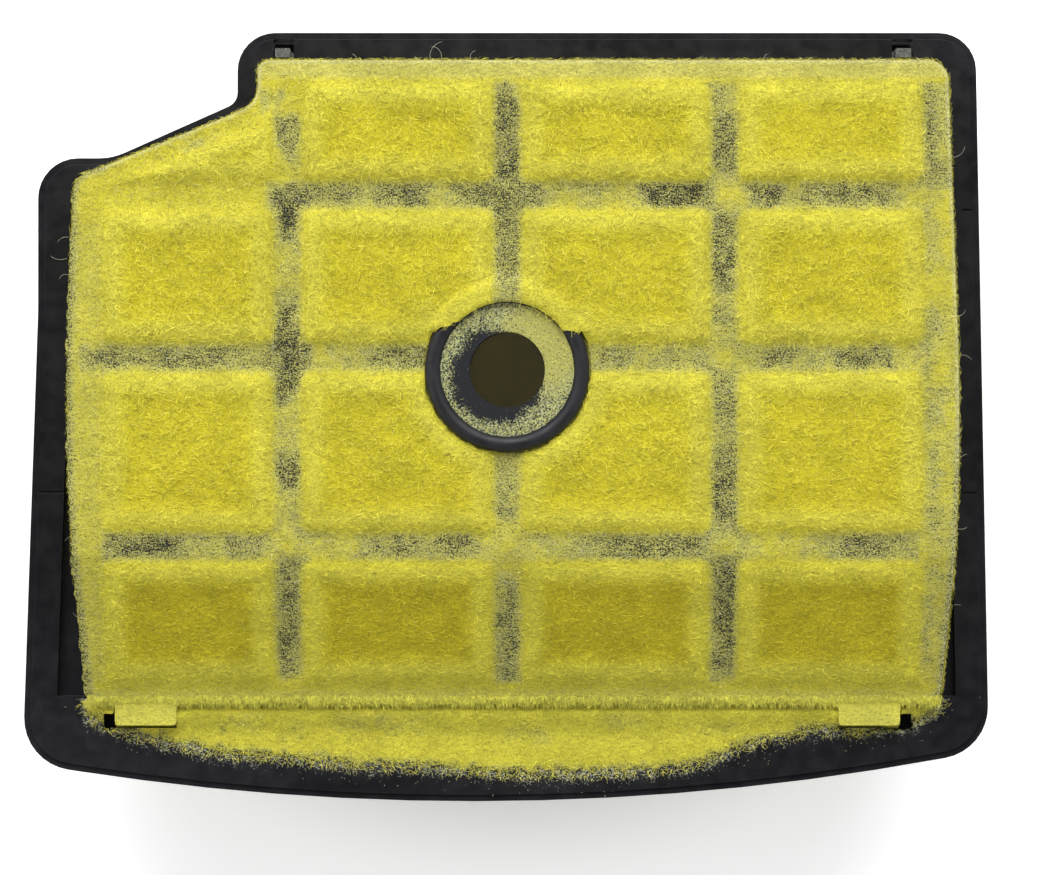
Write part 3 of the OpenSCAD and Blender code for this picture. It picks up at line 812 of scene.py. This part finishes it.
def row_region(k):
    low, high = ROW_LINES[k], ROW_LINES[k + 1]

    def inside(x, y):
        d = np.minimum(lid_depth(x, y) + overhang(x, y), hub_depth(x, y))
        if k == 0:
            d = np.max([d] + [box_depth(x, y, t, TONGUE_Y, 0.5) + 0.02 for t in TONGUES], axis=0)
            return np.minimum(d, high - y)
        d = np.minimum(d, y - low)
        return d if k == 3 else np.minimum(d, high - y)

    return inside


def lid_bottom(x, y):
    return np.maximum(plastic_top(y) - SHEET_DEPTH, LID_LOW)


GRID = 0.4
for k in range(4):
    low, high = (-47.8 if k == 0 else ROW_LINES[k]), ROW_LINES[k + 1]
    vs = np.linspace(low, high, round((high - low) / GRID) + 1)
    points, faces, tints = slab(
        np.arange(-59.6, 61.4, GRID), vs, row_region(k), surface, lid_bottom, level, lid_tint
    )
    node = f"lid_media_row_{4 - k}"
    media = piece(f"{node}_pads", points, faces, tints, FLOCK, "lid")
    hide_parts(node)


# ---- the flock on the rim in front of the lid ------------------------------------------------

def within_edge(x, y):
    """How far (x, y) lies behind the ragged front edge of the flock on the rim."""
    return y - np.interp(x, EDGE_X, EDGE_Y)


def hole_depth(x, y):
    """How far (x, y) lies inside the nearest of the holes around the tongues."""
    boxes = [(sorted((side * a, side * b)), ys) for a, b, *ys in TONGUE_HOLES for side in (-1, 1)]
    return np.max([box_depth(x, y, xs, ys, 0.1) for xs, ys in boxes], axis=0)


def apron_depth(x, y):
    """How far (x, y) lies inside the flock on the rim, clear of the slots and of the lid."""
    d = within_edge(x, y) + 0.55 * noise(x, y, 1.7, 61) + 0.4 * noise(x, y, 0.8, 62)
    return np.minimum(np.minimum(d, APRON_BACK - y), -hole_depth(x, y))


def sweep_limit(y):
    """The height below which flock on the rim is clear of the lid's front wall as the lid opens."""
    from_hinge = np.clip(y - HINGE_LINE[0], 0, WALL_REACH)
    free = HINGE_LINE[1] + np.sqrt(WALL_REACH ** 2 - from_hinge ** 2) - 0.05
    return np.maximum(free, RIM_TOP + 0.05)


def apron_top(x, y):
    """Height of the flock on the rim: thin at its edge, heaped towards the lid and beside the tongues."""
    fluff = 0.07 * noise(x, y, 1.9, 63) + 0.06 * noise(x, y, 0.8, 64)
    from_edge = within_edge(x, y)
    heap = 1.05 * smooth(-49.2, -45.6, y) * lerp(0.25, 1, smooth(-44.5, -45.3, y))
    heap = heap * smooth(0.2, 3.4, from_edge)
    beside = np.exp(-((np.maximum(np.abs(np.abs(x) - 48.6) - 4.1, 0) / 1.3) ** 2))
    heap = heap + 0.65 * beside * smooth(-48.4, -46.8, y) * smooth(-44.5, -45.0, y)
    thick = 0.10 + 0.16 * np.clip(cover(x, y), 0, 1) + fluff + heap
    thick = lerp(-0.12, thick, smooth(-0.1, 1.6, from_edge + 0.5 * noise(x, y, 1.2, 65)))
    return np.minimum(RIM_TOP + np.where(y > -44.6, np.minimum(thick, 0.2), thick), sweep_limit(y))


def apron_tint(x, y):
    from_edge = within_edge(x, y) + 0.6 * noise(x, y, 1.1, 66)
    left = np.minimum(cover(x, y) + 0.12, lerp(0.15, 1.0, smooth(-0.2, 2.4, from_edge)))
    tint = blend_tints(blend_tints(BRIGHT, PALE, 0.3), DUSTY, smooth(0.95, 0.4, left))
    return np.concatenate([tint, left[..., None]], -1)


points, faces, tints = slab(
    np.arange(-59.5, 60.5, GRID), np.arange(-56.2, -43.8, GRID), apron_depth, apron_top,
    lambda x, y: np.full_like(x, RIM_TOP - 0.4), level,
    apron_tint,
)
piece("rim_flock_front", points, faces, tints, FLOCK, "base")


# ---- flocked media in the tub's sides and floor ----------------------------------------------

def pad_heights(depth, low, high, seed):
    """Heights of pads that stand out of windows, over a plain sheet between them."""

    def height(u, v):
        d = depth(u, v)
        lumps = 0.10 * noise(u, v, 3.5, seed) + 0.06 * noise(u, v, 1.3, seed + 1)
        crowned = high - 0.9 + 0.55 * smooth(0, 2.5, d) + 0.35 * smooth(1.5, 6, d) + lumps
        return np.where(d > 0.12, crowned, low)

    return height


def media_tint(depth, seed):
    def tint(u, v):
        inner = smooth(1.5, 4.0, depth(u, v)) + 0.3 * noise(u, v, 2.6, seed)
        return blend_tints(blend_tints(BRIGHT, PALE, 0.2), DEEP, np.clip(inner, 0, 1) * 0.5)

    return tint


def side_media(side, along, spans, place):
    def depth(u, v):
        return np.max([box_depth(u, v, s, SIDE_WINDOW_Z, 0.3) for s in spans], axis=0)

    def inside(u, v):
        return box_depth(u, v, along, (5.0, 21.2), 0.2)

    points, faces, tints = slab(
        np.arange(along[0] - 0.5, along[1] + 0.6, 0.5), np.arange(4.6, 21.8, 0.5), inside,
        pad_heights(depth, 0.95, 3.9, 71), lambda u, v: np.zeros_like(u), place, media_tint(depth, 73),
    )
    made = piece(f"side_media_{side}_pads", points, faces, tints, FLOCK, "base")
    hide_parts(f"side_media_{side}")
    return depth


def wall_x(table, y):
    return np.interp(y, *zip(*table))


def in_wall(table, sign):
    """Where a point of a side wall's media is: the wall's X follows a table, and sign is its side."""
    return lambda u, v, h: np.stack([wall_x(table, sign * u) + sign * (h - 4), sign * u, v], -1)


# Each side's span, its windows' spans, and the function that puts its points into space
SIDES = {
    "front": ((-51.8, 53.8), SIDE_COLUMNS, lambda u, v, h: np.stack([u, LID_FRONT + 4 - h, v], -1)),
    "back": ((-27.8, 53.8), SIDE_COLUMNS[1:], lambda u, v, h: np.stack([-u, LID_BACK - 4 + h, v], -1)),
    "left": ((-39.8, 21.3), SIDE_ROWS[:3], in_wall(LID_LEFT, -1)),
    "right": ((-39.8, 35.8), SIDE_ROWS, in_wall(LID_RIGHT, 1)),
}
side_depths = {}
for side, (along, spans, place) in SIDES.items():
    if side in ("back", "left"):  # these run the other way, so that their pads face outwards
        along, spans = (-along[1], -along[0]), [(-b, -a) for a, b in spans]
    side_depths[side] = side_media(side, along, spans, place)

TUB_INSIDE = rounded(inset(LID_CORNERS, 3))
FLOOR_BORDER = rounded(inset(LID_CORNERS, 4))
tub_depth = Field(lambda x, y: depth_in(TUB_INSIDE, x, y), 0.4)
floor_border = Field(lambda x, y: depth_in(FLOOR_BORDER, x, y), 0.4)


def floor_window(x, y):
    return np.minimum(np.minimum(pane_depth(x, y), floor_border(x, y)), np.hypot(x, y) - 25.5)


def floor_media(name, k, half):
    def inside(u, v):
        x, y = -u, v
        d = np.minimum(tub_depth(x, y), np.hypot(x, y) - 24.8)
        if k:
            d = np.minimum(d, y - ROW_LINES[k])
        if k < 3:
            d = np.minimum(d, ROW_LINES[k + 1] - y)
        return np.minimum(d, half * x) if half else d

    def depth(u, v):
        return floor_window(-u, v)

    points, faces, tints = slab(
        np.arange(-57.6, 56.4, 0.6), np.linspace(ROW_LINES[k], ROW_LINES[k + 1], 38), inside,
        pad_heights(depth, 0.95, 3.35, 75), lambda u, v: np.zeros_like(u),
        lambda u, v, h: np.stack([-u, v, 5 - h], -1), media_tint(depth, 77),
    )
    made = piece(f"{name}_pads", points, faces, tints, FLOCK, "base")
    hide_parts(name)


for row, k in enumerate((3, 2, 1, 0), 1):
    if row in (1, 4):
        floor_media(f"floor_media_row_{row}", k, 0)
    else:  # the intake port splits the middle rows
        floor_media(f"floor_media_row_{row}_left", k, -1)
        floor_media(f"floor_media_row_{row}_right", k, 1)


# ---- loose fibres ----------------------------------------------------------------------------

def fibre_piece(name, groups, body):
    """One piece from several groups of hairs, each as (paths, radius, tint)."""
    points, faces, tints, start = [], [], [], 0
    for paths, radius, tint in groups:
        p, f, t = hairs(paths, radius, tint)
        points.append(p)
        faces.append(f + start)
        tints.append(t)
        start += len(p)
    return piece(name, np.concatenate(points), np.concatenate(faces), np.concatenate(tints), FIBRE, body)


def fibre_tints(r, base, spread=0.15):
    """A tint for each fibre: most near base, some paler and some deeper."""
    n = len(base)
    made = base * (1 + r.normal(0, spread, n))[:, None].clip(0.45, 1.5)
    pale = r.uniform(0, 1, n)
    return blend_tints(made, PALE, np.where(pale > 0.75, (pale - 0.75) * 2.4, 0))


def ground(x, y):
    return np.maximum(surface(x, y), plastic_top(y))


def lid_chance(x, y):
    d = window(x, y)
    over_pads = smooth(-0.6, 0.6, d)
    chance = lerp(0.9 * cover(x, y), 0.85, over_pads)
    return chance * (lid_depth(x, y) > 0.05) * (hub_depth(x, y) > 0.05)


def matted_angle(x, y, r):
    """Heading of a lying fibre: any way on the flat top, and combed across on the slope."""
    free = any_way(r, len(x))
    combed = r.normal(0, 0.5, len(x)) + math.pi * r.integers(0, 2, len(x))
    return np.where(r.uniform(0, 1, len(x)) < smooth(8, -26, y) * 0.75, combed, free)


FIBRES_A_ROW, MIDDLING_ROW = 17000, 22.6  # fibres tried in a row that is 22.6 mm deep
for k in range(4):
    low, high = max(ROW_LINES[k], LID_FRONT), min(ROW_LINES[k + 1], LID_BACK)
    tried = int(FIBRES_A_ROW * ((high - low) / MIDDLING_ROW))
    x, y, r = scatter(tried, (-58.6, 60.2), (low, high), lid_chance, 100 + k)
    d, n = window(x, y), len(x)
    on_pad = smooth(-0.4, 0.6, d)
    length = lerp(r.uniform(0.5, 1.3, n), r.uniform(0.9, 2.1, n) * (1 - 0.35 * smooth(-8, -26, y)), on_pad)
    angle = matted_angle(x, y, r)
    for _ in range(2):  # fibres near the edge turn until their tips stay close to the lid
        over = lid_depth(x + length * np.cos(angle), y + length * np.sin(angle)) < -0.35
        angle = np.where(over, angle + r.uniform(1, 4, n), angle)
    lift = lerp(r.uniform(0.02, 0.25, n), r.uniform(0.03, 0.5, n), on_pad)
    paths = lying_hairs(x, y, r, ground, angle, length, lift)
    # painted shade: fibres on the front slope get almost none of the pale blend that fibres further back
    # get, so they read darker, as the shade between combed fibres there
    tint = blend_tints(lid_tint(x, y)[:, :3], PALE, 0.25 * smooth(-28, -10, y) + 0.02)
    tint = blend_tints(tint, GREY, (1 - on_pad) * (0.3 + 0.6 * smooth(0.9, 0.4, cover(x, y))))
    fibre_piece(
        f"lid_fibres_row_{4 - k}", [(paths, r.uniform(0.020, 0.034, n), fibre_tints(r, tint))], "lid"
    )


def apron_chance(x, y):
    d = within_edge(x, y)
    fringe = np.exp(-np.maximum(-d, 0) / 0.6) * (d > -2.8)
    return np.where(apron_depth(x, y) > 0, 0.6 + 0.4 * smooth(3, 0, d), fringe) * slot_clear(x, y)


def slot_clear(x, y):
    """0 over the tongues' slots and under the lid, and 1 elsewhere on the rim."""
    return (y < -44.72) & (hole_depth(x, y) < 0)


def rim_ground(x, y):
    return np.where(apron_depth(x, y) > 0, np.maximum(apron_top(x, y), RIM_TOP), RIM_TOP)


x, y, r = scatter(17500, (-59.5, 60), (-57.5, -44.4), apron_chance, 120)
n = len(x)
beyond = smooth(0.3, -1.2, within_edge(x, y))
length = lerp(r.uniform(0.5, 1.3, n), r.uniform(0.12, 0.36, n), beyond)
angle = any_way(r, n)
for _ in range(3):
    tip_x, tip_y = x + length * np.cos(angle), y + length * np.sin(angle)
    angle = np.where(slot_clear(tip_x, tip_y), angle, angle + r.uniform(1, 4, n))
length = np.where(slot_clear(x + length * np.cos(angle), y + length * np.sin(angle)), length, 0.25)
paths = lying_hairs(
    x, y, r, rim_ground, angle, length, lerp(r.uniform(0.02, 0.32, n), r.uniform(0.03, 0.1, n), beyond),
)
paths[..., 2] = np.minimum(paths[..., 2], sweep_limit(paths[..., 1]) - 0.04)
tint = np.broadcast_to(blend_tints(BRIGHT, PALE, 0.4), (n, 3))
tint = blend_tints(tint, np.array([0.60, 0.61, 0.46]), beyond)
fibre_piece("rim_fibres_front", [(paths, r.uniform(0.018, 0.03, n), fibre_tints(r, tint))], "base")


def wall_fibres(seed, count):
    """Fibres on the lid's own walls."""
    r = np.random.default_rng(seed)
    ends = np.roll(LID_OUTLINE, -1, 0)
    lengths = np.linalg.norm(ends - LID_OUTLINE, axis=1)
    pick = r.choice(len(lengths), count, p=lengths / lengths.sum())
    t = r.uniform(0, 1, count)[:, None]
    start = LID_OUTLINE[pick] * (1 - t) + ends[pick] * t
    tangent = unit(ends[pick] - LID_OUTLINE[pick])
    outward = np.stack([tangent[:, 1], -tangent[:, 0]], -1)
    top = plastic_top(start[:, 1])
    z = lerp(RIM_TOP + 0.55, top, r.uniform(0, 1, count) ** 0.8)
    a = any_way(r, count)
    a = np.where((z + np.sin(a) < RIM_TOP + 0.6), -a, a)
    length, lift = r.uniform(0.5, 1.4, count), r.uniform(0.04, 0.4, count)
    steps = []
    for s in (0, 0.5, 1):
        flat = start + tangent * (np.cos(a) * length * s)[:, None] + outward * (lift * math.sqrt(s))[:, None]
        height = np.clip(z + np.sin(a) * length * s, RIM_TOP + 0.4, top + 0.5)
        steps.append(np.concatenate([flat, height[:, None]], 1))
    tint = np.broadcast_to(blend_tints(BRIGHT, DUSTY, 0.35) * 0.7, (count, 3))
    return np.stack(steps, 1), r.uniform(0.018, 0.03, count), fibre_tints(r, tint)


def front_fringe(seed, count):
    """Fibres that lie over the lid's front edge and hang past it, between and beside the tongues."""
    r = np.random.default_rng(seed)
    x, y = r.uniform(-56.4, 58.3, count), r.uniform(-44.7, -43.5, count)
    a = r.normal(-math.pi / 2, 0.7, count)
    length = r.uniform(0.6, 1.6, count)
    steps = []
    for s in (0, 0.5, 1):
        px, py = x + np.cos(a) * length * s, y + np.sin(a) * length * s
        droop = 0.4 * length * s * s * (py < -44.7)
        steps.append(np.stack([px, py, ground(x, y) - 0.02 + 0.12 * s - droop], -1))
    # painted highlight: these hairs are tinted pale and 1.12 times brighter so that, hanging into the shaded
    # gap, they stay as bright as the band above it
    tint = np.broadcast_to(blend_tints(BRIGHT, PALE, 0.6) * 1.12, (count, 3))
    return np.stack(steps, 1), r.uniform(0.02, 0.032, count), fibre_tints(r, tint)


fibre_piece("lid_fibres_walls", [wall_fibres(130, 12000), front_fringe(131, 6500)], "lid")


def side_fibres(side, seed):
    """Fibres on the pads in one side of the tub."""
    _, spans, place = SIDES[side]
    mirrored = side in ("back", "left")
    groups = []
    r = np.random.default_rng(seed)
    for a, b in spans:
        n = int((b - a) * 11.6 * 2.2)
        u, v = r.uniform(a + 0.2, b - 0.2, n), r.uniform(7.2, 18.4, n)
        angle, length, lift = any_way(r, n), r.uniform(0.6, 1.6, n), r.uniform(0.05, 0.35, n)
        steps = []
        for s in (0, 0.5, 1):
            us = np.clip(u + length * s * np.cos(angle), a, b)
            vs = np.clip(v + length * s * np.sin(angle), 6.8, 18.8)
            us = -us if mirrored else us
            h = pad_heights(side_depths[side], 0.95, 3.9, 71)(us, vs)
            steps.append(place(us, vs, np.maximum(h, 3.0) + lift * s - 0.03))
        tint = np.broadcast_to(blend_tints(BRIGHT, PALE, 0.25), (n, 3))
        groups.append((np.stack(steps, 1), r.uniform(0.02, 0.032, n), fibre_tints(r, tint)))
    return groups


fibre_piece("side_fibres", [g for i, side in enumerate(SIDES) for g in side_fibres(side, 140 + i)], "base")


def bush_fibres():
    """Sparse fibres on the bush, left out of the bare crescent beside the hole."""
    r = np.random.default_rng(150)
    n = 2600
    radius, a = np.sqrt(r.uniform(5.2 ** 2, 8.7 ** 2, n)), any_way(r, n)
    x, y = radius * np.cos(a), radius * np.sin(a)
    bare = smooth(7.4, 5.7, np.hypot(x + 1.3, y + 0.8))
    kept = r.uniform(0, 1, n) > 0.1 + 0.9 * bare
    x, y = x[kept], y[kept]
    n = len(x)
    angle, length = any_way(r, n), r.uniform(0.25, 0.7, n)
    outside = np.abs(np.hypot(x + length * np.cos(angle), y + length * np.sin(angle)) - 6.9) > 1.85
    angle = np.where(outside, angle + math.pi, angle)
    paths = lying_hairs(x, y, r, lambda u, v: np.full_like(u, 34.8), angle, length, r.uniform(0.02, 0.15, n))
    rich = smooth(8.5, 4.5, np.hypot(x - 4.2, y - 3.0))
    tint = blend_tints(np.broadcast_to(DUSTY * 1.3, (n, 3)), PALE * 0.85, rich)
    return paths, r.uniform(0.015, 0.024, n), fibre_tints(r, tint)


fibre_piece("bush_fibres", [bush_fibres()], "lid")


def stray(start, heading, length, rise, curl, z, seed):
    """One long loose fibre, as a path of nine points."""
    r = np.random.default_rng(seed)
    t = np.linspace(0, 1, 9)
    a = math.radians(heading) + curl * t + 0.3 * np.cumsum(r.normal(0, 0.4, 9)) / 3
    step = length / 8
    x = start[0] + np.concatenate([[0], np.cumsum(np.cos(a[:-1]) * step)])
    y = start[1] + np.concatenate([[0], np.cumsum(np.sin(a[:-1]) * step)])
    return np.stack([x, y, z + rise * np.sin(t * math.pi * 0.7)], -1)


LID_STRAYS = [
    ((-10.2, 41.0), 100, 3.4, 0.5, -1.6, 34.1), ((-8.9, 41.0), 60, 2.8, 0.6, 2.4, 34.0),
    ((-4.8, 41.1), 110, 1.6, 0.3, -2.0, 34.0), ((59.0, 28.2), 5, 2.6, 0.4, 1.2, 33.2),
    ((59.6, 7.2), -10, 1.6, 0.3, 1.8, 33.4), ((59.8, 1.9), 10, 2.2, 0.3, -1.4, 33.0),
    ((59.6, -12.4), 70, 2.0, 0.3, -1.2, 33.6), ((59.4, -20.8), -40, 1.8, 0.3, 1.4, 33.0),
    ((59.1, -31.5), 30, 1.6, 0.3, -1.0, 29.8), ((-58.2, 17.6), 170, 1.8, 0.3, 1.2, 33.2),
    ((-58.4, 14.8), 200, 2.4, 0.4, -1.5, 33.4), ((-58.3, 12.6), 160, 1.5, 0.3, 1.8, 33.0),
    ((-57.6, -22.0), 190, 1.4, 0.3, 1.0, 33.0), ((-56.9, -33.0), 170, 1.3, 0.3, -1.0, 30.0),
    ((-20.0, 41.0), 80, 1.2, 0.3, 2.0, 34.0), ((34.0, 41.0), 95, 1.3, 0.3, -2.0, 34.0),
]
strays = np.stack([stray(*facts, seed=160 + i) for i, facts in enumerate(LID_STRAYS)])
stray_tint = np.tile([0.5, 0.5, 0.38], (len(strays), 1))
fibre_piece("lid_strays", [(strays, np.full(len(strays), 0.026), stray_tint)], "lid")


# ---- stage, light and camera -----------------------------------------------------------------

def stage():
    """A wide pale floor, curved up a little at its far edges so that no view sees past it. It glows as
    painted light: faintly beneath the housing and strongly beyond it, filling in the housing's cast shadow.
    """
    size, n = 1.6, 24
    axis = np.linspace(-size, size, n)
    gx, gy = np.meshgrid(axis, axis, indexing="ij")
    away = np.maximum(np.hypot(gx, gy) - 1.0, 0)
    floor = grid_object("floor", np.stack([gx, gy, 0.35 * away ** 2], -1).reshape(-1, 3), n, n)
    floor.data.polygons.foreach_set("use_smooth", np.ones(len(floor.data.polygons), bool))
    m = Nodes("pale_floor_painted_glow", Roughness=0.95, Specular_IOR_Level=0.1)
    m.colour(m.mix(m.patches(6, 2, 0.3, 0.7), (0.93, 0.93, 0.93), (0.955, 0.955, 0.955)))
    # painted light: the floor's glow rises with distance from the housing, from 0.012 beneath it to 0.42
    # beyond 74 mm, which lifts the cast shadow around it
    m.shader.inputs["Emission Color"].default_value = (1, 1, 1, 1)
    m.link(m.range(m.distance(0, 0), 0.04, 0.074, 0.012, 0.42), m.shader.inputs["Emission Strength"])
    floor.data.materials.append(m.material)


def area_light(name, place, aim, size, power):
    data = bpy.data.lights.new(name, "AREA")
    data.shape = "RECTANGLE"
    data.size, data.size_y = size
    data.energy = power
    light = add_object(name, data)
    light.location = place
    light.rotation_euler = (Vector(aim) - Vector(place)).to_track_quat("-Z", "Y").to_euler()


stage()
area_light("softbox", (0.0, 0.90, 0.72), (0, 0, 0.02), (1.6, 0.8), 24.5)
area_light("fill", (-0.9, -0.1, 0.6), (0, 0, 0.02), (0.8, 0.8), 1.6)


def studio():
    """Pale surroundings that are dimmer straight overhead, where the viewer is."""
    world = bpy.data.worlds.new("studio")
    bpy.context.scene.world = world
    world.use_nodes = True
    tree = world.node_tree
    split = tree.nodes.new("ShaderNodeSeparateXYZ")
    tree.links.new(tree.nodes.new("ShaderNodeTexCoord").outputs["Generated"], split.inputs[0])
    dim = tree.nodes.new("ShaderNodeMapRange")
    dim.interpolation_type = "SMOOTHSTEP"
    for name, value in (("From Min", 0.70), ("From Max", 0.97), ("To Min", 0.72), ("To Max", 0.10)):
        dim.inputs[name].default_value = value
    tree.links.new(split.outputs["Z"], dim.inputs["Value"])
    background = tree.nodes["Background"]
    background.inputs["Color"].default_value = (0.98, 0.99, 1.0, 1)
    tree.links.new(dim.outputs["Result"], background.inputs["Strength"])


studio()
bpy.context.scene.view_settings.view_transform = "Standard"

FRAME_WIDTH, DISTANCE, SENSOR = 140.8, 600.0, 36.0
camera_data = bpy.data.cameras.new("camera")
camera_data.sensor_width = SENSOR
camera_data.lens = SENSOR * DISTANCE / FRAME_WIDTH
camera_data.clip_start, camera_data.clip_end = 0.01, 10
camera = add_object("camera", camera_data)
camera.location = (2.02 * MM, -8.96 * MM, (RIM_TOP + DISTANCE) * MM)
bpy.context.scene.camera = camera
